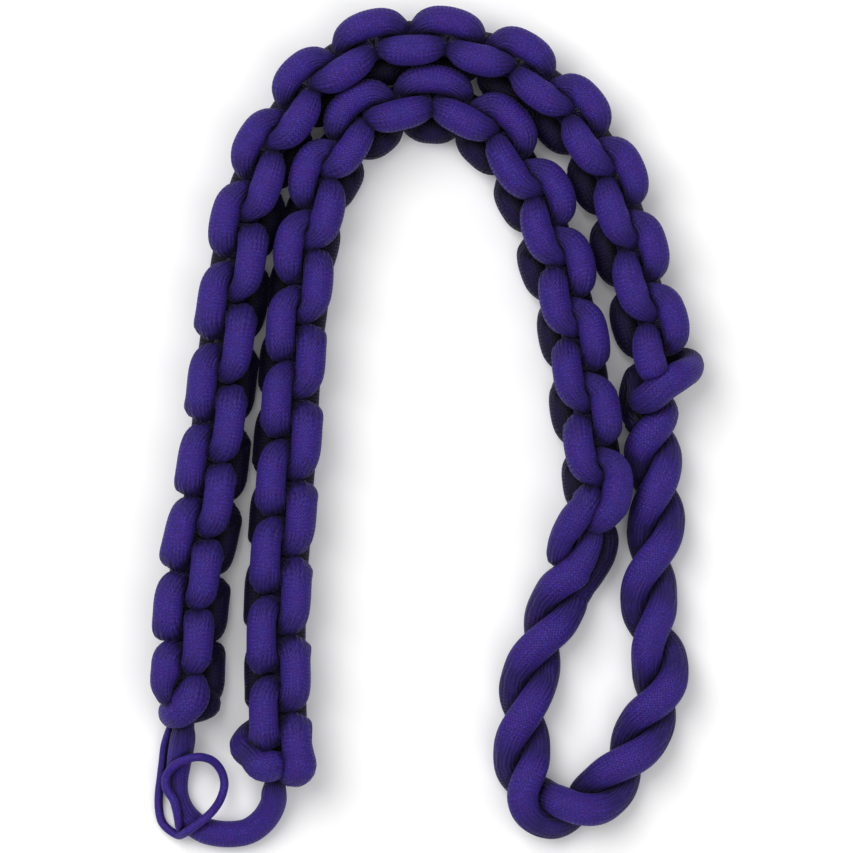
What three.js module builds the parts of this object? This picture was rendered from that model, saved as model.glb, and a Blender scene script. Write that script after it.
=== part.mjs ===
// Shoulder cord: two square-knotted braids, a rope twist between their ends and a plain end loop.
// Millimetres, +Z up; the cord lies flat on z = 0 and is seen from above with the arch at +Y.
import * as THREE from "three";

// overall length in millimetres, and the same length in the plan units of the tables below
const OVERALL_LENGTH = 194.343;
const PLAN_LENGTH = 841.31;
const GRID = OVERALL_LENGTH / PLAN_LENGTH;

// driving sizes, in plan units: radii, offsets of the braid's columns and rows, heights of the middles
const LOBE_RADIUS = 15;
const COLUMN_OFFSET = 16.1;
const ROW_HEIGHT = 26.5;
const BAR_OFFSET = 16.5;
const BAR_RADIUS = 5;
const TIE_RADIUS = 6.4;
const CORE_RADIUS = 2.6;
const STRAND_RADIUS = 13.8;
const LOOP_RADIUS = 13.2;
const THIN_RADIUS = 4.1;
const BRAID_HEIGHT = 41;
const TWIST_HEIGHT = 29;
const HALF_GAP = 0.02;

const OUTER_TOP_LEVEL = 31;
const INNER_TOP_LEVEL = 33;
const SIDES = 6;

const CORD_COLOUR = 0x31286a;
const CORE_COLOUR = 0x2f2765;
const THIN_COLOUR = 0x352c70;

// middle line of the outer braid from its looped end over the arch, plan units from the middle
const OUTER_LINE = [
  [-245, -273], [-245, -233], [-242, -183], [-236, -133], [-226, -86], [-219, -41], [-211, 17],
  [-205, 77], [-198, 127], [-191, 177], [-182, 222], [-169, 263], [-147, 304], [-123, 340],
  [-98, 362], [-71, 379], [-42, 389], [-12, 392], [15, 391], [43, 384], [72, 376], [102, 358],
  [131, 336], [151, 313], [168, 289], [183, 264], [194, 236], [203, 206], [211, 172], [221, 135],
  [229, 109], [236, 77],
];
// places along that line where a lobe of either column ends, one for each half pitch
const OUTER_STATIONS = [
  27, 59, 92, 127, 165, 204, 240, 280, 320, 361, 403, 443, 485, 523, 563, 602, 639, 676, 717, 754,
  793, 832, 867, 905, 942, 979, 1017, 1056, 1094, 1132, 1170, 1207, 1236,
];
// sideways lean of the braid's far side, as pairs of distance and degrees
const OUTER_LEAN = [
  [0, -13], [200, -12], [320, -6], [470, -4], [600, -15], [850, -17], [1000, -16], [1220, -15],
];

// the same for the inner braid
const INNER_LINE = [
  [-147, -345], [-146, -323], [-147, -273], [-148, -213], [-146, -153], [-142, -93], [-138, -33],
  [-134, 27], [-131, 77], [-127, 127], [-122, 177], [-113, 222], [-102, 261], [-83, 291],
  [-63, 315], [-32, 326], [-2, 331], [23, 328], [48, 317], [73, 299], [88, 277], [103, 252],
  [117, 230], [126, 197], [136, 165], [143, 127], [150, 92], [156, 57], [162, 17], [168, -19],
  [175, -59], [174, -93],
];
const INNER_STATIONS = [
  -12, 23, 58, 99, 136, 178, 217, 256, 293, 333, 374, 411, 449, 488, 525, 562, 600, 634, 672, 711,
  748, 787, 826, 864, 903, 938, 976, 1012, 1048, 1087, 1124, 1162, 1199, 1233, 1262,
];
const INNER_LEAN = [
  [0, 5], [430, 6], [560, -11], [660, -18], [800, -18], [950, -15], [1030, -8], [1250, -8],
];

// middle line of the rope twist from the outer braid round the bottom to the inner braid
const TWIST_LINE = [
  [223, 19], [225, -20], [229, -57], [230, -93], [224, -138], [222, -173], [225, -208], [233, -238],
  [231, -271], [217, -304], [195, -341], [176, -365], [150, -381], [122, -384], [104, -371],
  [96, -350], [95, -327], [97, -293], [100, -263], [110, -228], [119, -203], [133, -173], [144, -147],
  [158, -118],
];
// places where the two strands lie side by side, plan points near the middle line
const TWIST_CROSSINGS = [
  [223, 20], [225, -30], [229, -98], [223, -170], [234, -240], [218, -304], [179, -364],
  [118, -381], [97, -327], [106, -253], [130, -177], [158, -118],
];

// plain end loop between the looped ends: x, y, height, share of the cord's radius
const END_LOOP = [
  [-240, -290, 41, 0.265], [-243, -301, 38, 0.492], [-244, -310, 33, 0.932], [-246, -322, 24, 0.97],
  [-249, -340, 15, 0.909], [-250, -358, 13, 0.773], [-248, -374, 13, 0.758],
  [-241, -390, 13, 0.894], [-226, -403, 14, 0.985], [-202, -408, 14, 1], [-179, -405, 14, 1],
  [-163, -393, 18, 1], [-154, -377, 27, 0.985], [-153, -366, 35, 0.909], [-152, -357, 39, 0.606],
  [-151, -348, 41, 0.265],
];

// thin button loop: x, y, height
const BUTTON_LOOP = [
  [-259, -307, 17], [-263, -320, 11], [-265, -336, 7], [-267, -352, 6], [-269, -368, 5],
  [-269, -383, 5], [-266, -396, 6], [-260, -403, 8], [-250, -409, 12], [-245, -408, 21],
  [-239, -404, 31], [-229, -397, 34], [-216, -386, 32], [-207, -373, 24], [-203, -358, 20],
  [-206, -345, 22], [-215, -334, 30], [-228, -330, 38], [-240, -332, 39], [-252, -338, 36],
  [-261, -350, 28], [-262, -363, 25], [-260, -377, 24],
];

// smooth line through plan points, held as a fine polyline with its running length
function lineOf(points) {
  const fine = [];
  const at = (i) => points[Math.max(0, Math.min(points.length - 1, i))];
  for (let i = 0; i < points.length - 1; i++) {
    for (let j = 0; j < 12; j++) fine.push(blend(at(i - 1), at(i), at(i + 1), at(i + 2), j / 12));
  }
  fine.push(at(points.length - 1));
  const length = [0];
  for (let i = 1; i < fine.length; i++) {
    length.push(length[i - 1] + Math.hypot(fine[i][0] - fine[i - 1][0], fine[i][1] - fine[i - 1][1]));
  }
  return { fine, length };
}

// Catmull-Rom value between b and c
function blend(a, b, c, d, t) {
  return b.map((_, i) => 0.5 * (2 * b[i] + (c[i] - a[i]) * t
    + (2 * a[i] - 5 * b[i] + 4 * c[i] - d[i]) * t * t
    + (3 * b[i] - a[i] - 3 * c[i] + d[i]) * t * t * t));
}

// value of a rising table at x, carried on straight past its ends
function lookUp(xs, ys, x) {
  let i = 1;
  while (i < xs.length - 1 && xs[i] < x) i++;
  return ys[i - 1] + (ys[i] - ys[i - 1]) * (x - xs[i - 1]) / (xs[i] - xs[i - 1]);
}

// point and direction of a line at a distance along it
function pointAt(line, s) {
  const place = (d) => [0, 1].map((k) => lookUp(line.length, line.fine.map((p) => p[k]), d));
  const [x, y] = place(s);
  const before = place(s - 6);
  const after = place(s + 6);
  const size = Math.hypot(after[0] - before[0], after[1] - before[1]);
  return { x, y, dx: (after[0] - before[0]) / size, dy: (after[1] - before[1]) / size };
}

// distance along a line of the point nearest to a plan point
function nearestOn(line, [x, y]) {
  let best = 0;
  line.fine.forEach((p, i) => {
    const old = line.fine[best];
    if (Math.hypot(p[0] - x, p[1] - y) < Math.hypot(old[0] - x, old[1] - y)) best = i;
  });
  return line.length[best];
}

// section centre from a place in the braid: level, sideways and upward offset, radius;
// the near row stays on the line and the lean moves the far row
function braidSection(braid, [level, side, up, radius]) {
  const s = lookUp(braid.levels, braid.stations, level);
  const at = pointAt(braid.line, s);
  const lean = THREE.MathUtils.degToRad(lookUp(braid.leanAt, braid.lean, clamp(s, braid.leanAt)));
  const out = side * Math.cos(lean) - (up - ROW_HEIGHT) * Math.sin(lean);
  const rise = side * Math.sin(lean) + up * Math.cos(lean);
  return [at.x - at.dy * out, at.y + at.dx * out, BRAID_HEIGHT + rise, radius];
}

function clamp(value, table) {
  return Math.max(table[0], Math.min(table[table.length - 1], value));
}

function braidOf(points, stations, firstLevel, lean) {
  return {
    line: lineOf(points),
    stations,
    levels: stations.map((_, i) => firstLevel + i),
    leanAt: lean.map((p) => p[0]),
    lean: lean.map((p) => p[1]),
  };
}

// one lobe of a braid strand: column +1 outer or -1 inner, row +1 near or -1 far
function lobe(level, column, row) {
  const c = COLUMN_OFFSET * column;
  const h = ROW_HEIGHT * row;
  return [
    [level - 0.33, 0.8 * c, 0.78 * h, TIE_RADIUS],
    [level - 0.06, c, 0.97 * h, 0.92 * LOBE_RADIUS],
    [level + 0.5, c, h, LOBE_RADIUS],
    [level + 1.06, c, 0.97 * h, 0.92 * LOBE_RADIUS],
    [level + 1.33, 0.8 * c, 0.78 * h, TIE_RADIUS],
  ];
}

// the strand passes through the braid at a level and shows as a thin bar on its other side
function bar(level, column) {
  return [[level, -BAR_OFFSET * column, 0, BAR_RADIUS]];
}

// lobes and bars of one strand between two levels
function strandRun(column, first, last) {
  const run = [];
  for (let level = first; level <= last; level++) {
    const row = column * (level % 2 === 0 ? 1 : -1);
    run.push(...lobe(level, column, row));
    if (level < last) run.push(...bar(level + 1, column));
  }
  return run;
}

// sections of one rope strand between two crossings; start +1 begins on the left of the run
function twistRun(line, crossings, start, from, to) {
  const sections = [];
  const steps = Math.round(5 * (to - from));
  const turns = Array.from({ length: steps + 1 }, (_, i) => from + (to - from) * i / steps);
  turns.splice(1, 0, from + 0.04);
  turns.splice(-1, 0, to - 0.04);
  for (const turn of turns) {
    const s = lookUp(crossings.map((_, k) => k), crossings, turn);
    const at = pointAt(line, s);
    const angle = Math.PI * turn;
    const offset = STRAND_RADIUS + 1.4;
    const side = start * offset * Math.cos(angle);
    const up = start * offset * Math.sin(angle);
    const height = TWIST_HEIGHT + 8 * Math.max(0, 1 - turn / 2, (turn - 9) / 2);
    sections.push([at.x - at.dy * side, at.y + at.dx * side, height + up, STRAND_RADIUS]);
  }
  return sections;
}

// closed mesh swept along sections of centre and radius
function sweep(sections, sides) {
  const centres = sections.map((s) => new THREE.Vector3(s[0], s[1], s[2]).multiplyScalar(GRID));
  const count = centres.length;
  const positions = [];
  const indices = [];
  let normal = new THREE.Vector3(0, 0, 1);
  centres.forEach((centre, i) => {
    const before = centres[Math.max(0, i - 1)];
    const after = centres[Math.min(count - 1, i + 1)];
    const back = centre.clone().sub(before).normalize();
    const ahead = after.clone().sub(centre).normalize();
    const tangent = back.add(ahead).normalize();
    normal = normal.clone().addScaledVector(tangent, -normal.dot(tangent)).normalize();
    const across = tangent.clone().cross(normal);
    for (let k = 0; k < sides; k++) {
      const angle = 2 * Math.PI * (k + 0.5) / sides;
      const point = centre.clone()
        .addScaledVector(normal, sections[i][3] * GRID * Math.cos(angle))
        .addScaledVector(across, sections[i][3] * GRID * Math.sin(angle));
      positions.push(point.x, point.y, point.z);
    }
  });
  for (let i = 0; i < count - 1; i++) {
    for (let k = 0; k < sides; k++) {
      const a = i * sides + k;
      const b = i * sides + (k + 1) % sides;
      indices.push(a, b, b + sides, a, b + sides, a + sides);
    }
  }
  for (let k = 1; k < sides - 1; k++) {
    const end = (count - 1) * sides;
    indices.push(0, k + 1, k, end, end + k, end + k + 1);
  }
  const geometry = new THREE.BufferGeometry();
  geometry.setAttribute("position", new THREE.Float32BufferAttribute(positions, 3));
  geometry.setIndex(indices);
  geometry.computeVertexNormals();
  return geometry;
}

function piece(name, geometry, colour, roughness) {
  const material = new THREE.MeshStandardMaterial({ color: colour, roughness, metalness: 0 });
  const mesh = new THREE.Mesh(geometry, material);
  mesh.name = name;
  return mesh;
}

const outer = braidOf(OUTER_LINE, OUTER_STATIONS, 0.5, OUTER_LEAN);
const inner = braidOf(INNER_LINE, INNER_STATIONS, 0.5, INNER_LEAN);
const twist = lineOf(TWIST_LINE);
const crossings = TWIST_CROSSINGS.map((p) => nearestOn(twist, p));
const inOuter = (places) => places.map((p) => braidSection(outer, p));
const inInner = (places) => places.map((p) => braidSection(inner, p));

// cord A: wrap at the looped end, inner column of the outer braid, half of the rope twist
function outerCordA() {
  const wrap = [
    [-0.5, -18, -17, 11], [-0.7, 1, -22, 10], [-0.74, 17, -10, 11.5], [-0.74, 17, 8, 12.5],
    [-0.6, 5, 24, 13.3], [-0.2, -9, 27, 13.5], [0.1, -13.5, 25, 11], [0.33, -11.5, 20, TIE_RADIUS],
  ];
  const run = strandRun(-1, 0, OUTER_TOP_LEVEL).slice(0, -2);
  const toTwist = [
    [OUTER_TOP_LEVEL + 0.7, -15, 19, 10],
    [OUTER_TOP_LEVEL + 1.05, -11, 6, TIE_RADIUS],
    [OUTER_TOP_LEVEL + 1.7, -6, -6, 6.5],
  ];
  return [
    ...inOuter([...wrap, ...bar(0, -1), ...run, ...toTwist]),
    ...twistRun(twist, crossings, 1, 0, 6 - HALF_GAP),
  ];
}

// cord B: outer column of the outer braid, knob at the start of the twist, half of the twist
function outerCordB() {
  const tip = [[-0.18, 22, 15, 4], [0.08, 20, 20, 8.2], [0.4, 17.5, 25, 12.5]];
  const knob = [
    [264, 66, 24, 12.5], [264, 57, 46, 12.5], [247, 49, 66, 12.8], [229, 39, 68, 13],
    [213, 29, 57, 12.6], [203, 18, 38, 12.4],
  ];
  return [
    ...inOuter([...tip, ...strandRun(1, 0, OUTER_TOP_LEVEL).slice(3, -2)]),
    ...knob,
    ...twistRun(twist, crossings, -1, 0.17, 6 - HALF_GAP),
  ];
}

// cord A again: other half of the twist, outer column of the inner braid, wrap at its end
function innerCordA() {
  const wrap = [
    [2.3, 10, -18, 7], [2.1, 24, -18, 10.5], [1.8, 35, -8, 12.5], [1.4, 36, 6, 12.5],
    [1.0, 28, 18, 13], [0.72, 15, 20, 12], [0.85, 5, 11, 5],
  ];
  const fromTwist = [[174, -105, 44, 8], [178, -93, 58, 8.5]];
  const run = [...bar(2, 1), ...strandRun(1, 2, INNER_TOP_LEVEL - 1).slice(0, -1)].reverse();
  return [
    ...twistRun(twist, crossings, 1, 6 + HALF_GAP, 11),
    ...fromTwist,
    ...inInner([...run, ...wrap]),
  ];
}

// cord B again: other half of the twist, inner column of the inner braid
function innerCordB() {
  const tip = [
    [1.4, -17.5, 26, LOBE_RADIUS], [0.95, -17.5, 25, 14.2], [0.75, -9, 15, 8], [0.85, -2, 8, 4],
  ];
  const fromTwist = [[139, -104, 48, 12.5], [148, -91, 63, 14.4], [156, -77, 67, 14.4]];
  const run = strandRun(-1, 1, INNER_TOP_LEVEL).slice(3, -3).reverse();
  return [
    ...twistRun(twist, crossings, -1, 6 + HALF_GAP, 11),
    ...fromTwist,
    ...inInner([...run, ...tip]),
  ];
}

// centre cord: thin where the knots squeeze it, full in the end loop
function centreCord() {
  const top = [
    [OUTER_TOP_LEVEL + 1.15, -20, -20, 11],
    [OUTER_TOP_LEVEL + 0.87, -12, -13, 8],
    [OUTER_TOP_LEVEL + 0.5, -2, -4, 3.5],
  ];
  const endLoop = END_LOOP.map(([x, y, z, share]) => [x, y, z, share * LOOP_RADIUS]);
  const inside = (braid, from, to, step) => {
    const places = [];
    for (let level = from; step > 0 ? level <= to : level >= to; level += step) {
      places.push(braidSection(braid, [level, 0, 0, CORE_RADIUS]));
    }
    return places;
  };
  return [
    ...inOuter(top),
    ...inside(outer, OUTER_TOP_LEVEL - 0.1, 0.5, -0.95),
    ...lineOf(endLoop).fine.filter((_, i) => i % 6 === 0),
    ...inside(inner, 1.6, INNER_TOP_LEVEL, 0.95),
  ];
}

function buttonLoop() {
  return lineOf(BUTTON_LOOP.map((p) => [...p, THIN_RADIUS])).fine.filter((_, i) => i % 6 === 0);
}

const part = new THREE.Group();
part.name = "aiguillette";
part.add(
  piece("outer_cord_a", sweep(outerCordA(), SIDES), CORD_COLOUR, 0.72),
  piece("outer_cord_b", sweep(outerCordB(), SIDES), CORD_COLOUR, 0.72),
  piece("inner_cord_a", sweep(innerCordA(), SIDES), CORD_COLOUR, 0.72),
  piece("inner_cord_b", sweep(innerCordB(), SIDES), CORD_COLOUR, 0.72),
  piece("centre_cord", sweep(centreCord(), SIDES), CORE_COLOUR, 0.72),
  piece("button_loop", sweep(buttonLoop(), SIDES), THIN_COLOUR, 0.72),
);

// set the part down on z = 0 with its middle on the origin
const box = new THREE.Box3().setFromObject(part);
const shift = new THREE.Vector3((box.min.x + box.max.x) / -2, (box.min.y + box.max.y) / -2, -box.min.z);
part.children.forEach((mesh) => mesh.geometry.translate(shift.x, shift.y, shift.z));

export default part;
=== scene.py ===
"""Shoulder cord of two knotted braids, a rope twist, a plain end loop and a thin button loop."""
import math

import bpy
import numpy as np
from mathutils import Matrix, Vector
from mathutils.bvhtree import BVHTree


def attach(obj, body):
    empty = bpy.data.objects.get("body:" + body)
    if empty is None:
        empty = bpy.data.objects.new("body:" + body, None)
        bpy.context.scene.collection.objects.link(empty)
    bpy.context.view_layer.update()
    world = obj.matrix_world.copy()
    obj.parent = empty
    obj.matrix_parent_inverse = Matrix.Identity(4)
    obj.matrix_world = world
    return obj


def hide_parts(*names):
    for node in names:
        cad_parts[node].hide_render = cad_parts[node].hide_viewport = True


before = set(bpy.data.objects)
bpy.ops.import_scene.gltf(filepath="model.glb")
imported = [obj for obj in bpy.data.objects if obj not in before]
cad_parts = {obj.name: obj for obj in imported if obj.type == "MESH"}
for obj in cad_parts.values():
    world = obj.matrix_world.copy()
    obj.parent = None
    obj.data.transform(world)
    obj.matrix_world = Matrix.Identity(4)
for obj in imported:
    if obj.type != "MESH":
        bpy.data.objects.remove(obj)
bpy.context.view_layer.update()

# plan units of the CAD source: one is one pixel of the photograph; the shift sets the part on the origin
GRID = 0.194343 / 841.31
SHIFT = np.array([-0.5287, 0.3778, 2.6842])

# sizes in plan units; the tops are the heights from which the depth of the shade is measured
LOBE_RADIUS = 15.0
COLUMN_OFFSET = 16.1
ROW_HEIGHT = 26.5
BAR_RADIUS = 10.0
CORE_RADIUS = 12.0
STRAND_RADIUS = 13.8
LOOP_RADIUS = 13.2
THIN_RADIUS = 4.3
BRAID_HEIGHT = 41.0
BRAID_TOP = 82.0
TWIST_HEIGHT = 29.0
LOOP_TOP = 24.0
THIN_TOP = 8.0
OUTER_TOP_LEVEL = 31
INNER_TOP_LEVEL = 33

# each braid: middle line, distances along it where its lobes end, lean of its far side in degrees,
# and how far its lobes have the slimmer ends of the arch
OUTER_LINE = [
    [-245, -273], [-245, -233], [-242, -183], [-236, -133], [-226, -86], [-219, -41], [-211, 17],
    [-205, 77], [-198, 127], [-191, 177], [-182, 222], [-169, 263], [-147, 304], [-123, 340],
    [-98, 362], [-71, 379], [-42, 389], [-12, 392], [15, 391], [43, 384], [72, 376], [102, 358],
    [131, 336], [151, 313], [168, 289], [183, 264], [194, 236], [203, 206], [211, 172], [221, 135],
    [229, 109], [236, 77],
]
OUTER_STATIONS = [
    27, 59, 92, 127, 165, 204, 240, 280, 320, 361, 403, 443, 485, 523, 563, 602, 639, 676, 717, 754,
    793, 832, 867, 905, 942, 979, 1017, 1056, 1094, 1132, 1170, 1207, 1236,
]
OUTER_LEAN = [
    [0, -13], [200, -12], [320, -7], [470, -9], [600, -15], [850, -17], [1000, -16], [1220, -15],
]
OUTER_BULGE = [[0, 0.1], [430, 0.1], [560, 1], [1000, 0.9], [1236, 0.7]]
INNER_LINE = [
    [-147, -345], [-146, -323], [-147, -273], [-148, -213], [-146, -153], [-142, -93], [-138, -33],
    [-134, 27], [-131, 77], [-127, 127], [-122, 177], [-113, 222], [-102, 261], [-83, 291],
    [-63, 315], [-32, 326], [-2, 331], [23, 328], [48, 317], [73, 299], [88, 277], [103, 252],
    [117, 230], [126, 197], [136, 165], [143, 127], [150, 92], [156, 57], [162, 17], [168, -19],
    [175, -59], [174, -93],
]
INNER_STATIONS = [
    -12, 23, 58, 99, 136, 178, 217, 256, 293, 333, 374, 411, 449, 488, 525, 562, 600, 634, 672, 711,
    748, 787, 826, 864, 903, 938, 976, 1012, 1048, 1087, 1124, 1162, 1199, 1233, 1262,
]
INNER_LEAN = [
    [0, 5], [430, 6], [560, -4], [660, -18], [800, -18], [950, -15], [1030, -8], [1250, -8],
]
INNER_BULGE = [[0, 0.1], [430, 0.15], [560, 0.8], [900, 0.8], [1050, 0.5], [1262, 0.5]]

# middle line of the rope twist and the places where its strands lie side by side
TWIST_LINE = [
    [223, 19], [225, -20], [229, -57], [230, -93], [224, -138], [222, -173], [225, -208], [233, -238],
    [231, -271], [217, -304], [195, -341], [176, -365], [150, -381], [122, -384], [104, -371],
    [96, -350], [95, -327], [97, -293], [100, -263], [110, -228], [119, -203], [133, -173],
    [144, -147], [158, -118],
]
TWIST_CROSSINGS = [
    [223, 20], [225, -30], [229, -98], [223, -170], [234, -240], [218, -304], [179, -364],
    [118, -381], [97, -327], [106, -253], [130, -177], [158, -118],
]

# plain end loop: x, y, height, radius as a share of the cord's, pucker
END_LOOP = [
    [-240, -290, 41, 0.6, 1], [-243, -301, 38, 0.8, 1], [-244, -310, 33, 0.95, 0.8],
    [-246, -322, 24, 0.97, 0.3], [-249, -340, 15, 0.91, 0.1], [-250, -358, 13, 0.77, 0.4],
    [-248, -374, 13, 0.76, 0.6], [-241, -390, 13, 0.894, 0.5], [-226, -403, 14, 0.985, 0.1],
    [-202, -408, 14, 1, 0], [-179, -405, 14, 1, 0], [-163, -393, 18, 1, 0], [-154, -377, 27, 0.985, 0.1],
    [-153, -366, 35, 0.95, 0.5], [-152, -357, 39, 0.8, 1], [-151, -348, 41, 0.6, 1],
]
# thin button loop: x, y, height
BUTTON_LOOP = [
    [-257, -297, 21], [-259, -307, 17], [-263, -320, 11], [-265, -336, 7], [-267, -352, 6], [-269, -368, 5],
    [-269, -383, 5], [-266, -396, 6], [-260, -403, 8], [-250, -409, 12], [-245, -408, 21],
    [-239, -404, 31], [-229, -397, 34], [-216, -386, 32], [-207, -373, 24], [-203, -358, 20],
    [-206, -345, 22], [-215, -334, 30], [-228, -330, 38], [-240, -332, 39], [-252, -338, 36],
    [-261, -350, 28], [-261, -362, 27], [-254, -373, 29], [-250.5, -385, 28], [-249, -394, 25],
    [-248, -401, 20], [-248, -406, 15],
]

# how far the lobes sweep across the middle at one end, +1 at their higher end and -1 at their lower,
# by distance along the braid
OUTER_TILT = [
    [0, 0.4], [300, 0.5], [450, 0.8], [600, 1], [690, 0.5], [760, 0], [830, -0.5], [900, -1], [1236, -1],
]
INNER_TILT = [
    [0, 0.4], [300, 0.5], [450, 0.8], [600, 1], [690, 0.5], [740, 0], [790, -0.5], [850, -1], [1262, -1],
]

# half a lobe from its middle: place in levels, shares of column, row and radius, pucker, sideways swell
BLUNT_END = [
    [0.13, 1.02, 1, 1, 0, 1], [0.36, 1.01, 1, 1, 0.3, 1.02], [0.54, 0.99, 0.95, 0.97, 0.8, 1.08],
    [0.65, 0.95, 0.78, 0.90, 1, 1.15], [0.67, 0.85, 0.5, 0.74, 1, 1.15],
]
ARCH_END = [
    [0.12, 1.09, 1, 0.95, 0, 1], [0.36, 1.04, 0.99, 0.92, 0.25, 1], [0.56, 0.92, 0.93, 0.82, 0.75, 1],
    [0.70, 0.74, 0.82, 0.68, 1, 1], [0.80, 0.58, 0.62, 0.56, 1, 1],
]
TAIL_END = [
    [0.13, 1.03, 1, 0.98, 0, 1], [0.36, 0.98, 1, 0.93, 0.25, 1], [0.56, 0.78, 1, 0.82, 0.7, 1],
    [0.72, 0.45, 0.93, 0.66, 0.8, 1], [0.84, 0.15, 0.74, 0.52, 1, 1],
]

# in the arch the inner column's lobes lie nearer the middle and are thicker, as shares
ARCH_NARROWER = 0.08
ARCH_THICKER = 0.09
# random shifts of a lobe: levels, units sideways, share of its radius
WANDER = [0.015, 0.4, 0.012]
# how far a strand reaches across as it passes through the braid, and by how much less in the arch
BAR_REACH = 16.5
ARCH_BAR_LOSS = 10
BAR_SPAN = 0.20
# a section's middle stays this share of its radius, less the drop, above the plan's zero
LEAST_HEIGHT = 1.05
FLOOR_DROP = 2.4

# rope twist: gaps between strand and middle line, swell where the strands lie on each other, fullness and
# unevenness of a strand, rise at the twist's ends, top for the shade over the middle line, and sections
# from one crossing to the next
STRAND_SIDE_GAP = 0.6
STRAND_RISE_GAP = 0.2
STRAND_SWELL = 0.22
STRAND_FULLNESS = 1.03
STRAND_UNEVEN = 0.03
TWIST_END_RISE = 8
TWIST_TOP = 28
SECTIONS_PER_TURN = 8

# steps of the smoothed lines, and the reach over which a line's direction is taken
LINE_STEPS = 12
ROW_STEPS = 6
DIRECTION_REACH = 6

# depths of the folds round a tube, as shares of its radius, and how square a squeezed section gets
FINE_FOLD = 0.022
CROSS_FOLD = 0.016
UNEVENNESS = 0.013
SQUARENESS = 1.8

# rays that tell how open a spot is: count, reach, start above the surface, least slope from it, and
# share of the light that comes from every side
RAYS = 44
REACH = 40.0
RAY_START = 1.0
LEAST_SLOPE = 0.08
EVEN_LIGHT = 0.2
# share of the height where the shade of deep faces starts, its span, and its strength
DEPTH_START = 0.3
DEPTH_SPAN = 0.4
DEPTH_SHADE = 0.72

# camera: the photograph's middle in plan units, its width in pixels, height in metres, sensor in millimetres
CENTRE = np.array([0.0, 0.5, 0.0])
FRAME_WIDTH = 854
CAMERA_DISTANCE = 2.5
SENSOR_WIDTH = 36

# colours of the sleeve: two hues of its own, a painted highlight, a dark for painted shade and for its own
# grain, black for painted shade, and the tint of its sheen
BLUER = (0.0218, 0.0086, 0.184)
REDDER = (0.040, 0.0046, 0.175)
PAINTED_HIGHLIGHT = (0.086, 0.052, 0.500)
SHADE_AND_GRAIN_DARK = (0.007, 0.004, 0.026)
PAINTED_SHADE_BLACK = (0.002, 0.0015, 0.003)
SHEEN = (0.3, 0.25, 0.9, 1)

# noise scales of the sleeve, how far its pleats wander, and shares of the painted shade between the yarns,
# in the pleat grooves and at the lobe ends, and of the painted highlight where it is most open
PLEAT_SCALE = 150
PATCH_SCALE = 420
GRAIN_SCALE = 2600
PLEAT_WANDER = 16.0
YARN_SHADE = 0.9
PLEAT_SHADE = 0.95
END_SHADE = 0.80
EXPOSED_LIGHT = 0.10
# openness at which the painted shade makes the sleeve black, and at which it has its full colour
CLOSED = 0.16
OPEN = 0.92

# sleeves: yarns round the cord, their pitch in plan units, pleats round it, depth of the relief in metres
BRAIDED_SLEEVE = (28, 3.4, 19, 0.0003)
THIN_SLEEVE = (12, 2.4, 6, 0.0001)

# lamps: name, place, side in metres, watts
LAMPS = [
    ("key", (-0.52, 0.46, 1.35), 1.0, 17),
    ("fill", (0.35, -0.25, 1.6), 1.2, 10),
]
SKY_STRENGTH = 0.35
FLOOR_REACH = 4

random = np.random.default_rng(7)


# plan points to metres in the part's frame
def metres(points):
    return (np.asarray(points, float) + SHIFT) * GRID


# smooth line through rows of values, evenly fine between each pair
def smooth(rows, per):
    p = np.asarray(rows, float)
    steps = np.maximum(np.linalg.norm(np.diff(p[:, :3], axis=0), axis=1), 1e-6) ** 0.5
    t = np.concatenate([[0], np.cumsum(steps)])
    slope = np.diff(p, axis=0) / np.diff(t)[:, None]
    tangent = np.empty_like(p)
    tangent[0], tangent[-1] = slope[0], slope[-1]
    before, after = np.diff(t)[:-1, None], np.diff(t)[1:, None]
    tangent[1:-1] = (slope[:-1] * after + slope[1:] * before) / (before + after)
    out = []
    for i in range(len(p) - 1):
        width = t[i + 1] - t[i]
        u = np.linspace(0, 1, per, endpoint=False)[:, None]
        out.append((2 * u**3 - 3 * u**2 + 1) * p[i] + (u**3 - 2 * u**2 + u) * width * tangent[i]
                   + (3 * u**2 - 2 * u**3) * p[i + 1] + (u**3 - u**2) * width * tangent[i + 1])
    return np.vstack([*out, p[-1:]])


# running length along points
def lengths(points):
    steps = np.linalg.norm(np.diff(points, axis=0), axis=1)
    return np.concatenate([[0], np.cumsum(steps)])


# the same rows at even distances along the line
def even(rows, step):
    along = lengths(rows[:, :3])
    places = np.linspace(0, along[-1], max(4, round(along[-1] / step)) + 1)
    return np.column_stack([np.interp(places, along, rows[:, k]) for k in range(rows.shape[1])])


# value of a rising table at x, carried on straight past its ends
def look_up(xs, ys, x):
    i = 1
    while i < len(xs) - 1 and xs[i] < x:
        i += 1
    return ys[i - 1] + (ys[i] - ys[i - 1]) * (x - xs[i - 1]) / (xs[i] - xs[i - 1])


class Line:
    """Plan line with its running length, smoothed as in the CAD source."""

    def __init__(self, points):
        p = np.asarray(points, float)
        last = len(p) - 1
        fine = []
        for i in range(last):
            a, b, c, d = p[max(0, i - 1)], p[i], p[i + 1], p[min(last, i + 2)]
            for t in np.arange(LINE_STEPS) / LINE_STEPS:
                fine.append(0.5 * (2 * b + (c - a) * t + (2 * a - 5 * b + 4 * c - d) * t * t
                                   + (3 * b - a - 3 * c + d) * t**3))
        self.fine = np.array([*fine, p[-1]])
        self.length = lengths(self.fine)

    def place(self, s):
        return np.array([look_up(self.length, self.fine[:, k], s) for k in range(2)])

    # point and direction at a distance along the line
    def at(self, s):
        ahead = self.place(s + DIRECTION_REACH) - self.place(s - DIRECTION_REACH)
        return self.place(s), ahead / np.linalg.norm(ahead)

    def nearest(self, point):
        return self.length[np.argmin(np.linalg.norm(self.fine - point, axis=1))]


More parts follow.
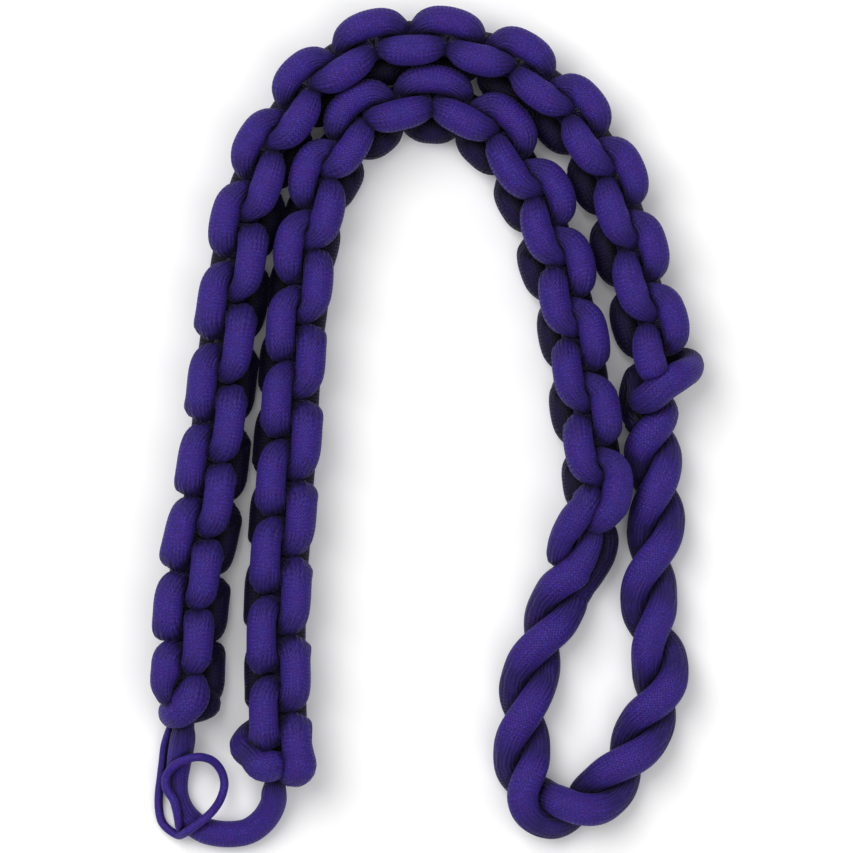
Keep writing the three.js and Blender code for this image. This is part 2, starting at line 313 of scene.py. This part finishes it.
class Braid:
    """Two-strand knotted braid: its line, where its lobes end, and how they change along it."""

    def __init__(self, points, stations, lean, bulge, tilt):
        self.line = Line(points)
        self.stations = stations
        self.levels = [0.5 + i for i in range(len(stations))]
        self.lean = np.array(lean, float)
        self.bulge = np.array(bulge, float)
        self.tilt = np.array(tilt, float)

    def along(self, level):
        return look_up(self.levels, self.stations, level)

    def value(self, table, level):
        return np.interp(self.along(level), table[:, 0], table[:, 1])

    # level, sideways and upward offset, radius, pucker and swell to a row of values for rings()
    def section(self, level, side, up, radius, pucker, swell=1):
        s = self.along(level)
        (x, y), (dx, dy) = self.line.at(s)
        lean = math.radians(np.interp(s, self.lean[:, 0], self.lean[:, 1]))
        out = side * math.cos(lean) - (up - ROW_HEIGHT) * math.sin(lean)
        rise = side * math.sin(lean) + up * math.cos(lean)
        height = max(BRAID_HEIGHT + rise, LEAST_HEIGHT * radius - FLOOR_DROP)
        return [x - dy * out, y + dx * out, height, radius, pucker, swell, -dy, dx, BRAID_TOP]

    # one lobe, outer column +1 or inner -1, near row +1 or far -1
    def lobe(self, level, column, row):
        middle = level + 0.5
        bulge = self.value(self.bulge, middle)
        tilt = self.value(self.tilt, middle)
        wander = random.normal(0, 1, 3) * WANDER
        halves = []
        for sign in (-1, 1):
            tail = max(0, sign * tilt * column)
            end = (1 - bulge) * np.array(BLUNT_END) + bulge * np.array(ARCH_END)
            end = (1 - tail) * end + tail * np.array(TAIL_END)
            end[:, 0] *= sign
            halves.append(end)
        narrow = 1 - ARCH_NARROWER * bulge * (column < 0)
        wide = 1 + ARCH_THICKER * bulge * (column < 0)
        rows = []
        for along, side, up, share, pucker, swell in [*halves[0][::-1], *halves[1]]:
            out = (COLUMN_OFFSET * side * narrow + wander[1]) * column
            radius = LOBE_RADIUS * share * wide * (1 + wander[2])
            rows.append([middle + along + wander[0], out, ROW_HEIGHT * up * row, radius, pucker, swell])
        return rows

    # the strand passes through the braid and round the other strand at a level
    def bar(self, level, column, row):
        reach = BAR_REACH - ARCH_BAR_LOSS * self.value(self.bulge, level)
        c = COLUMN_OFFSET * column
        h = ROW_HEIGHT * row
        return [
            [level + BAR_SPAN, -0.1 * c, 0.42 * h, 0.9 * BAR_RADIUS, 1],
            [level, -reach * column, 0, BAR_RADIUS, 0.8],
            [level - BAR_SPAN, -0.1 * c, -0.42 * h, 0.9 * BAR_RADIUS, 1],
        ]

    # lobes and bars of one strand between two levels
    def strand(self, column, first, last):
        run = []
        for level in range(first, last + 1):
            row = column * (1 if level % 2 == 0 else -1)
            run += self.lobe(level, column, row)
            if level < last:
                run += self.bar(level + 1, column, row)
        return run

    def rows(self, places):
        return [self.section(*p) for p in places]


# one rope strand between two crossings; start +1 begins on the left of the run
def twist_run(line, crossings, start, first, last):
    rows = []
    for turn in np.linspace(first, last, max(2, round(SECTIONS_PER_TURN * (last - first))) + 1):
        s = look_up(list(range(len(crossings))), crossings, turn)
        (x, y), (dx, dy) = line.at(s)
        angle = math.pi * turn
        side = start * (STRAND_RADIUS + STRAND_SIDE_GAP) * math.cos(angle)
        up = start * (STRAND_RADIUS + STRAND_RISE_GAP) * math.sin(angle)
        height = TWIST_HEIGHT + TWIST_END_RISE * max(0, 1 - turn / 2, (turn - 9) / 2)
        stacked = math.sin(angle) ** 2
        radius = STRAND_RADIUS * (STRAND_FULLNESS + STRAND_UNEVEN * math.sin(1.7 * turn + start) * stacked)
        pucker = 0.05 + 0.9 * (1 - stacked) ** 1.5
        swell = 1 + STRAND_SWELL * stacked
        rows.append([x - dy * side, y + dx * side, height + up, radius, pucker, swell, -dy, dx,
                     height + TWIST_TOP])
    return rows


# plan rows with no swell, and the top for their shade
def filled(rows, top=BRAID_TOP):
    return [[*row, 1, 1, 0, top] for row in rows]


# outline of one section as shares of its radius: pleats, unevenness and a squarer shape where squeezed
def outline(angle, along, pucker, swell, folds):
    fold = 1 + FINE_FOLD * pucker * np.cos(folds * angle + 0.02 * along) \
        + CROSS_FOLD * pucker * np.cos((folds + 4) * angle - 0.03 * along) \
        + UNEVENNESS * np.cos(3 * angle + 0.05 * along)
    power = 2 + SQUARENESS * min(1, max(0, 5 * (swell - 1) * pucker))
    return fold * (np.abs(np.cos(angle)) ** power + np.abs(np.sin(angle)) ** power) ** (-1 / power)


# rings of a tube along rows of x, y, z, radius, pucker, sideways swell, its direction and the top for
# the shade; the section turns as little as it can
def rings(rows, sides, step, folds):
    path = even(smooth(rows, ROW_STEPS), step)
    centre = path[:, :3]
    tangent = np.gradient(centre, axis=0)
    tangent /= np.linalg.norm(tangent, axis=1)[:, None]
    normal = np.array([0.0, 0.0, 1.0])
    angle = 2 * math.pi * np.arange(sides) / sides
    along = lengths(centre)
    out = np.empty((len(path), sides, 3))
    for i, row in enumerate(path):
        t = tangent[i]
        normal = normal - t * (normal @ t)
        normal /= np.linalg.norm(normal)
        across = np.cross(t, normal)
        radius, pucker, swell = row[3:6]
        share = outline(angle, along[i], pucker, swell, folds)
        spoke = (np.cos(angle)[:, None] * normal + np.sin(angle)[:, None] * across) * share[:, None]
        sideways = np.array([row[6], row[7], 0.0])
        sideways /= max(np.linalg.norm(sideways), 1e-9)
        spoke += (swell - 1) * (spoke @ sideways)[:, None] * sideways
        spoke[:, 2] *= swell ** -0.5
        out[i] = row[:3] + radius * spoke
    return {"rings": out, "along": along, "pucker": path[:, 4], "centre": centre, "top": path[:, 8]}


# even directions over the whole sphere
def directions(count):
    turn = np.arange(count) * math.pi * (3 - math.sqrt(5))
    z = 1 - 2 * (np.arange(count) + 0.5) / count
    flat = np.sqrt(1 - z * z)
    return np.column_stack([flat * np.cos(turn), flat * np.sin(turn), z])


# painted shade: faces that look up from deep inside the braid or the twist are darkened in the colour, as if
# they got little light
def depth_light(z, top, upward):
    deep = np.clip(((top - z) / top - DEPTH_START) / DEPTH_SPAN, 0, 1)
    return 1 - DEPTH_SHADE * deep * np.clip((upward + 0.4) / 0.6, 0, 1)


# corner numbers of the faces between rings of points
def ring_faces(count, sides):
    i, k = np.meshgrid(np.arange(count - 1), np.arange(sides), indexing="ij")
    a = i * sides + k
    b = i * sides + (k + 1) % sides
    return np.stack([a, b, b + sides, a + sides], axis=-1).reshape(-1, 4)


# search tree over every second point of all the tubes
def tube_tree(tubes):
    points, faces = [], []
    for made in tubes:
        ring = made["rings"][::2, ::2]
        faces += (ring_faces(*ring.shape[:2]) + len(points)).tolist()
        points += ring.reshape(-1, 3).tolist()
    return BVHTree.FromPolygons(points, faces)


# how open each ring point is to the light, 0 deep in a crevice to 1, from rays among all the tubes and
# lowered by the painted depth shade; it sets the painted shade and highlight of the colour
def add_openness(tubes):
    tree = tube_tree(tubes)
    rays = directions(RAYS)
    vectors = [Vector(r) for r in rays]
    lit = EVEN_LIGHT + (1 - EVEN_LIGHT) * np.maximum(0, rays[:, 2])
    for made in tubes:
        ring = made["rings"][::2, ::2]
        outward = ring - made["centre"][::2, None]
        outward /= np.linalg.norm(outward, axis=2)[..., None]
        coarse = np.empty(ring.shape[:2])
        for i, k in np.ndindex(*coarse.shape):
            facing = outward[i, k] @ rays.T
            start = Vector(ring[i, k] + RAY_START * outward[i, k])
            total = free = 0.0
            for j in np.nonzero(facing > LEAST_SLOPE)[0]:
                weight = facing[j] * lit[j]
                far = tree.ray_cast(start, vectors[j], REACH)[3]
                total += weight
                free += weight * (1 if far is None else (far / REACH) ** 2)
            coarse[i, k] = free / total * depth_light(ring[i, k, 2], made["top"][2 * i], outward[i, k, 2])
        wide = np.repeat(coarse, 2, axis=1)
        wide[:, 1::2] = (coarse + np.roll(coarse, -1, axis=1)) / 2
        rows = np.arange(len(made["rings"])) / 2
        made["open"] = np.column_stack([
            np.interp(rows, np.arange(len(coarse)), wide[:, k]) for k in range(wide.shape[1])])


# UV of the corners of the faces between rings: share of a turn, distance along the tube
def corner_uv(along, sides):
    k = np.tile(np.arange(sides), len(along) - 1)
    i = np.repeat(np.arange(len(along) - 1), sides)
    corners = [
        [k / sides, along[i]], [(k + 1) / sides, along[i]],
        [(k + 1) / sides, along[i + 1]], [k / sides, along[i + 1]],
    ]
    return np.transpose(corners, (2, 0, 1)).reshape(-1, 2)


# a value for each vertex, zero on the middles of the closed ends
def add_values(mesh, name, values):
    every = np.zeros(len(mesh.vertices))
    every[:len(values)] = values
    mesh.attributes.new(name, "FLOAT", "POINT").data.foreach_set("value", every)


# mesh object from a span of rings, with ends closed where asked
def tube(name, made, first, last, close=(True, True)):
    points = made["rings"][first:last + 1]
    count, sides = points.shape[:2]
    faces = ring_faces(count, sides).tolist()
    vertices = metres(points.reshape(-1, 3)).tolist()
    for end, flip, closed in ((0, True, close[0]), (count - 1, False, close[1])):
        if closed:
            middle = len(vertices)
            vertices.append(metres(points[end].mean(axis=0)).tolist())
            for k in range(sides):
                edge = [end * sides + k, end * sides + (k + 1) % sides]
                faces.append([*(edge[::-1] if flip else edge), middle])
    mesh = bpy.data.meshes.new(name)
    mesh.from_pydata(vertices, [], faces)
    mesh.polygons.foreach_set("use_smooth", [True] * len(faces))
    corners = corner_uv(made["along"][first:last + 1], sides)
    uv = np.zeros((len(mesh.loops), 2))
    uv[:len(corners)] = corners
    mesh.uv_layers.new(name="UVMap").data.foreach_set("uv", uv.ravel())
    add_values(mesh, "pucker", np.repeat(made["pucker"][first:last + 1], sides))
    add_values(mesh, "open", made["open"][first:last + 1].ravel())
    mesh.validate()
    piece = bpy.data.objects.new(name, mesh)
    bpy.context.collection.objects.link(piece)
    return piece


# camera straight above the photograph's middle
def make_camera():
    data = bpy.data.cameras.new("camera")
    data.sensor_width = SENSOR_WIDTH
    width = FRAME_WIDTH * GRID
    middle = metres(CENTRE + [0, 0, BRAID_HEIGHT])
    data.lens = SENSOR_WIDTH * (CAMERA_DISTANCE - middle[2]) / width
    data.clip_end = 20
    camera = bpy.data.objects.new("camera", data)
    camera.location = (middle[0], middle[1], CAMERA_DISTANCE)
    bpy.context.collection.objects.link(camera)
    bpy.context.scene.camera = camera


# rings of the two cords: the plain end loop and the thin button loop
def loop_rings():
    plain = [[x, y, z, share * LOOP_RADIUS, pucker] for x, y, z, share, pucker in END_LOOP]
    thin = [[x, y, z, THIN_RADIUS, 0] for x, y, z in BUTTON_LOOP]
    thin[0][3] = thin[-1][3] = 0.6 * THIN_RADIUS
    return {
        "end_loop": rings(filled(plain, LOOP_TOP), sides=40, step=2.2, folds=9),
        "thin_loop": rings(filled(thin, THIN_TOP), sides=20, step=1.4, folds=5),
    }


# rings of the cords hidden in the middle of the braids
def core_rings(outer, inner):
    spans = (("outer_core", outer, 0.4, OUTER_TOP_LEVEL), ("inner_core", inner, 1.4, INNER_TOP_LEVEL))
    made = {}
    for name, braid, first, last in spans:
        rows = braid.rows([[level, 0, 0, CORE_RADIUS, 0] for level in np.arange(first, last, 0.5)])
        made[name] = rings(rows, sides=16, step=8, folds=5)
    return made


# a tube piece that rides on the part and stands for CAD nodes
def dress(name, made, slot, *nodes, first=0, last=None, close=(True, True)):
    last = len(made["centre"]) - 1 if last is None else last
    piece = tube(name, made, first, last, close)
    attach(piece, "root")
    if nodes:
        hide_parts(*nodes)
    return piece


# cord A: wrap, inner column of the outer braid, twist, outer column of the inner braid, wrap;
# rows in a braid are level, sideways and upward offset, radius, pucker, and rows in filled() have
# x, y, height in place of the first three; a strand's own first and last sections give way to the tables
def cord_a_rows(outer, inner, twist, crossings):
    wrap = [
        [0.1, -14, -12, 4, 1], [-0.2, -17, -16, 9, 1], [-0.5, -17, -18, 12, 0.8],
        [-0.72, 1, -21, 12, 0.4], [-0.76, 15, -10, 13, 0.3], [-0.74, 13, 8, 15.5, 0.3],
        [-0.62, 3, 20, 18, 0.3], [-0.28, -9, 23, 18, 0.3], [0.08, -13, 22, 15, 0.8],
        [0.3, -11.5, 16, 9, 1], [0.2, 4, 6, 9, 1], [0, 16, 0, 10, 1], [-0.2, -2, -10, 9, 1],
    ]
    run = outer.strand(-1, 0, OUTER_TOP_LEVEL)[:-3]
    to_twist = [
        [OUTER_TOP_LEVEL + 0.7, -15, 19, 12, 1], [OUTER_TOP_LEVEL + 1.05, -11, 6, 10, 1],
        [OUTER_TOP_LEVEL + 1.7, -6, -6, 11, 1],
    ]
    first = outer.rows([*wrap, *run, *to_twist]) + twist_run(twist, crossings, 1, 0.1, 6)
    from_twist = filled([
        [158, -128, 51, 13.3, 0.4], [165, -110, 50, 11.5, 0.8], [167, -101, 51, 9.5, 1],
        [170, -95, 59, 12.5, 0.9], [178, -88, 66, 14.5, 0.4],
        [187, -77, 68, 15.3, 0.1], [190, -62, 68, 15.3, 0],
    ])
    run = inner.strand(1, 2, INNER_TOP_LEVEL - 1)[:-5][::-1]
    end_wrap = [
        [2.0, -14, 0, 9, 1], [2.2, 0, -12, 9, 1], [2.25, 12, -18, 10, 1], [2.0, 25, -18, 12, 0.6],
        [1.75, 33, -8, 13.5, 0.5], [1.5, 34, 8, 15, 0.7], [1.27, 27, 16, 14.5, 1],
        [1.03, 19, 20, 16, 0.2], [1.04, 7, 20, 16, 0.4], [1.15, -2, 12, 11, 1], [1.35, -3, 3, 7, 1],
    ]
    second = twist_run(twist, crossings, 1, 6.125, 10.5) + from_twist + inner.rows([*run, *end_wrap])
    return first, second


# cord B: outer column of the outer braid, knob, twist, inner column of the inner braid
def cord_b_rows(outer, inner, twist, crossings):
    tip = [
        [-0.42, 13, 34, 3, 1], [-0.34, 14, 35, 6.5, 1], [-0.15, 16, 34, 9, 0.8],
        [0.1, 18, 31, 12, 0.5], [0.36, 17.5, 28, 14, 0.2],
    ]
    run = outer.strand(1, 0, OUTER_TOP_LEVEL)[5:-4]
    knob = filled([
        [262, 66, 26, 12.5, 0.6], [263, 58, 46, 13.5, 0.2], [252, 51, 63, 15.2, 0.1],
        [237, 42, 67, 16, 0.3], [224, 31, 63, 15.5, 0.7], [214, 27, 52, 13.5, 1], [212, 40, 38, 11.5, 1],
        [211, 51, 26, 13, 1], [205, 34, 20, 12.5, 0.8], [206, 14, 22, 12.5, 0.6],
    ])
    first = outer.rows([*tip, *run]) + knob + twist_run(twist, crossings, -1, 0.17, 6)
    from_twist = filled([
        [166, -145, 26, 13.5, 0.5], [176, -126, 24, 13.5, 0.6], [178, -107, 26, 12.5, 0.8],
        [168, -95, 27, 10, 1], [152, -104, 24, 10, 1], [140, -120, 25, 11, 1],
        [132, -129, 39, 12, 1], [135, -112, 54, 13, 0.5], [147, -92, 65, 15.3, 0.1],
        [157, -79, 68, 14.5, 0.5],
    ])
    run = inner.strand(-1, 1, INNER_TOP_LEVEL)[5:-7][::-1]
    end_tip = [
        [1.35, -18, 25, 16, 0.1], [1.05, -19.5, 23, 17, 0.1], [0.88, -15, 17, 15.5, 0.6],
        [0.85, -8, 8, 11, 1], [1.1, -2, 2, 5, 1],
    ]
    second = twist_run(twist, crossings, -1, 6.125, 10.2) + from_twist + inner.rows([*run, *end_tip])
    return first, second


# each long cord is one tube, cut at the bottom of the twist into the two pieces of the CAD
def long_rings(outer, inner):
    twist = Line(TWIST_LINE)
    crossings = [twist.nearest(p) for p in TWIST_CROSSINGS]
    made = {}
    for name, maker in (("a", cord_a_rows), ("b", cord_b_rows)):
        first, second = maker(outer, inner, twist, crossings)
        made[name] = rings(first + second, sides=36, step=3.0, folds=9)
        gap = np.linalg.norm(made[name]["centre"] - np.array(first[-1][:3]), axis=1)
        made[name]["cut"] = int(np.argmin(gap))
    return made


class Nodes:
    """Short calls for a material's node tree."""

    def __init__(self, material):
        self.tree = material.node_tree

    def add(self, kind, **values):
        node = self.tree.nodes.new(kind)
        for key, value in values.items():
            setattr(node, key, value)
        return node

    def link(self, out, into):
        self.tree.links.new(out, into)

    def math(self, operation, *values, clamp=False):
        node = self.add("ShaderNodeMath", operation=operation, use_clamp=clamp)
        for i, value in enumerate(values):
            if isinstance(value, (int, float)):
                node.inputs[i].default_value = value
            else:
                self.link(value, node.inputs[i])
        return node.outputs[0]

    def noise(self, scale):
        node = self.add("ShaderNodeTexNoise")
        node.inputs["Scale"].default_value = scale
        node.inputs["Detail"].default_value = 2
        self.link(self.add("ShaderNodeTexCoord").outputs["Object"], node.inputs["Vector"])
        return node.outputs["Fac"]

    def mix(self, share, low, high):
        node = self.add("ShaderNodeMix", data_type="RGBA")
        self.link(share, node.inputs["Factor"])
        for socket, value in ((node.inputs[6], low), (node.inputs[7], high)):
            if isinstance(value, tuple):
                socket.default_value = (*value, 1)
            else:
                self.link(value, socket)
        return node.outputs[2]


# height of the yarns of a slanting two-way weave, 0 between them to 1 on their backs
def weave_height(n, around, along, yarns, pitch):
    turn = n.math("MULTIPLY", around, yarns)
    run = n.math("MULTIPLY", along, 1 / pitch)
    left = n.math("ADD", turn, run)
    right = n.math("SUBTRACT", turn, run)
    left_ridge = n.math("ABSOLUTE", n.math("SINE", n.math("MULTIPLY", left, math.pi)))
    right_ridge = n.math("ABSOLUTE", n.math("SINE", n.math("MULTIPLY", right, math.pi)))
    over = n.math("PINGPONG", n.math("ADD", n.math("FLOOR", left), n.math("FLOOR", right)), 1)
    under = n.math("SUBTRACT", 1, over)
    return n.math("ADD", n.math("MULTIPLY", left_ridge, over), n.math("MULTIPLY", right_ridge, under))


# depth of the pleats where a lobe is squeezed, broken up in patches
def pleat_depth(n, around, puckers, amount, patchy):
    wander = n.math("MULTIPLY", n.noise(PLEAT_SCALE), PLEAT_WANDER)
    pleat = n.math("SINE", n.math("ADD", n.math("MULTIPLY", around, 2 * math.pi * puckers), wander))
    groove = n.math("POWER", n.math("MULTIPLY_ADD", pleat, -0.5, 0.5), 1.1)
    patches = n.math("MULTIPLY_ADD", patchy, 3.0, -0.6, clamp=True)
    return n.math("MULTIPLY", n.math("MULTIPLY", groove, amount), patches)


# colour of the sleeve: hue patches and grain of its own, with painted shade between the yarns, in the pleat
# grooves and at the squeezed lobe ends, and a painted highlight on the backs of the yarns
def sleeve_colour(n, weave, groove, amount, patchy):
    grain = n.noise(GRAIN_SCALE)
    shade = n.mix(n.math("MULTIPLY_ADD", patchy, 3.0, -1.0), BLUER, REDDER)
    # painted shade in the gaps between the yarns
    shade = n.mix(n.math("MULTIPLY", n.math("SUBTRACT", 1, weave), YARN_SHADE), shade, SHADE_AND_GRAIN_DARK)
    # darker specks of the sleeve's own grain
    shade = n.mix(n.math("MULTIPLY_ADD", grain, -2.0, 1.1), shade, SHADE_AND_GRAIN_DARK)
    # painted highlight: glints on the backs of the yarns where the grain is high
    glint = n.math("MULTIPLY_ADD", grain, 2.4, -1.2, clamp=True)
    shade = n.mix(n.math("MULTIPLY", weave, glint), shade, PAINTED_HIGHLIGHT)
    # painted shade in the pleat grooves, then at the squeezed lobe ends
    shade = n.mix(n.math("MULTIPLY", groove, PLEAT_SHADE), shade, SHADE_AND_GRAIN_DARK)
    return n.mix(n.math("MULTIPLY", n.math("POWER", amount, 3), END_SHADE), shade, SHADE_AND_GRAIN_DARK)


# painted shade and highlight: the colour goes black where closed in from the light, and a little paler where
# wide open
def lit_colour(n, shade):
    light = n.add("ShaderNodeMapRange", interpolation_type="SMOOTHSTEP")
    n.link(n.add("ShaderNodeAttribute", attribute_name="open").outputs["Fac"], light.inputs[0])
    light.inputs["From Min"].default_value = CLOSED
    light.inputs["From Max"].default_value = OPEN
    # painted highlight where the openness is highest
    exposed = n.math("MULTIPLY", n.math("POWER", light.outputs[0], 8), EXPOSED_LIGHT)
    # painted shade: black where the point is closed in
    return n.mix(light.outputs[0], PAINTED_SHADE_BLACK, n.mix(exposed, shade, PAINTED_HIGHLIGHT))


# woven rayon sleeve: slanting yarns, and pleats where a lobe is squeezed
def cord_material(name, yarns, pitch, puckers, depth):
    material = bpy.data.materials.new(name)
    material.use_nodes = True
    n = Nodes(material)
    shader = n.tree.nodes["Principled BSDF"]
    split = n.add("ShaderNodeSeparateXYZ")
    n.link(n.add("ShaderNodeUVMap", uv_map="UVMap").outputs[0], split.inputs[0])
    around, along = split.outputs[0], split.outputs[1]
    amount = n.add("ShaderNodeAttribute", attribute_name="pucker").outputs["Fac"]
    patchy = n.noise(PATCH_SCALE)
    weave = weave_height(n, around, along, yarns, pitch)
    groove = pleat_depth(n, around, puckers, amount, patchy)
    shade = sleeve_colour(n, weave, groove, amount, patchy)
    n.link(lit_colour(n, shade), shader.inputs["Base Color"])
    shader.inputs["Roughness"].default_value = 0.6
    shader.inputs["Specular IOR Level"].default_value = 0.18
    shader.inputs["Sheen Weight"].default_value = 0.12
    shader.inputs["Sheen Roughness"].default_value = 0.4
    shader.inputs["Sheen Tint"].default_value = SHEEN
    height = n.math("SUBTRACT", n.math("MULTIPLY", weave, 0.4), n.math("MULTIPLY", groove, 1.2))
    bump = n.add("ShaderNodeBump")
    bump.inputs["Strength"].default_value = 0.8
    bump.inputs["Distance"].default_value = depth
    n.link(height, bump.inputs["Height"])
    n.link(bump.outputs[0], shader.inputs["Normal"])
    return material


def make_floor():
    mesh = bpy.data.meshes.new("floor")
    corners = [(x * FLOOR_REACH, y * FLOOR_REACH, 0) for x, y in ((-1, -1), (1, -1), (1, 1), (-1, 1))]
    mesh.from_pydata(corners, [], [(0, 1, 2, 3)])
    floor = bpy.data.objects.new("floor", mesh)
    bpy.context.collection.objects.link(floor)
    material = bpy.data.materials.new("floor_paper")
    material.use_nodes = True
    shader = material.node_tree.nodes["Principled BSDF"]
    shader.inputs["Base Color"].default_value = (0.9, 0.9, 0.9, 1)
    shader.inputs["Roughness"].default_value = 0.9
    shader.inputs["Specular IOR Level"].default_value = 0.1
    mesh.materials.append(material)


# wide soft lamps, the brighter one from the upper left, and an even sky
def make_lights():
    world = bpy.data.worlds.new("sky")
    bpy.context.scene.world = world
    world.use_nodes = True
    world.node_tree.nodes["Background"].inputs[0].default_value = (1, 1, 1, 1)
    world.node_tree.nodes["Background"].inputs[1].default_value = SKY_STRENGTH
    bpy.context.scene.view_settings.view_transform = "Standard"
    for name, place, size, power in LAMPS:
        data = bpy.data.lights.new(name, "AREA")
        data.size = size
        data.energy = power
        lamp = bpy.data.objects.new(name, data)
        lamp.location = place
        lamp.rotation_euler = (-Vector(place)).to_track_quat("-Z", "Y").to_euler()
        bpy.context.collection.objects.link(lamp)


def main():
    make_camera()
    outer = Braid(OUTER_LINE, OUTER_STATIONS, OUTER_LEAN, OUTER_BULGE, OUTER_TILT)
    inner = Braid(INNER_LINE, INNER_STATIONS, INNER_LEAN, INNER_BULGE, INNER_TILT)
    loops = loop_rings()
    cores = core_rings(outer, inner)
    cords = long_rings(outer, inner)
    add_openness([*loops.values(), *cores.values(), *cords.values()])
    loop = dress("end_loop", loops["end_loop"], "braided_cord", "centre_cord")
    thin = dress("thin_loop", loops["thin_loop"], "thin_cord", "button_loop")
    pieces = [loop]
    for name, made in cores.items():
        pieces.append(dress(name, made, "braided_cord", "centre_cord"))
    for name, made in cords.items():
        cut = made["cut"]
        pieces.append(dress(f"dressed_outer_{name}", made, "braided_cord", f"outer_cord_{name}",
                            last=cut, close=(True, False)))
        pieces.append(dress(f"dressed_inner_{name}", made, "braided_cord", f"inner_cord_{name}",
                            first=cut, close=(False, True)))
    braided = cord_material("braided_rayon", *BRAIDED_SLEEVE)
    for piece in pieces:
        piece.data.materials.append(braided)
    thin.data.materials.append(cord_material("thin_rayon", *THIN_SLEEVE))
    make_floor()
    make_lights()


main()
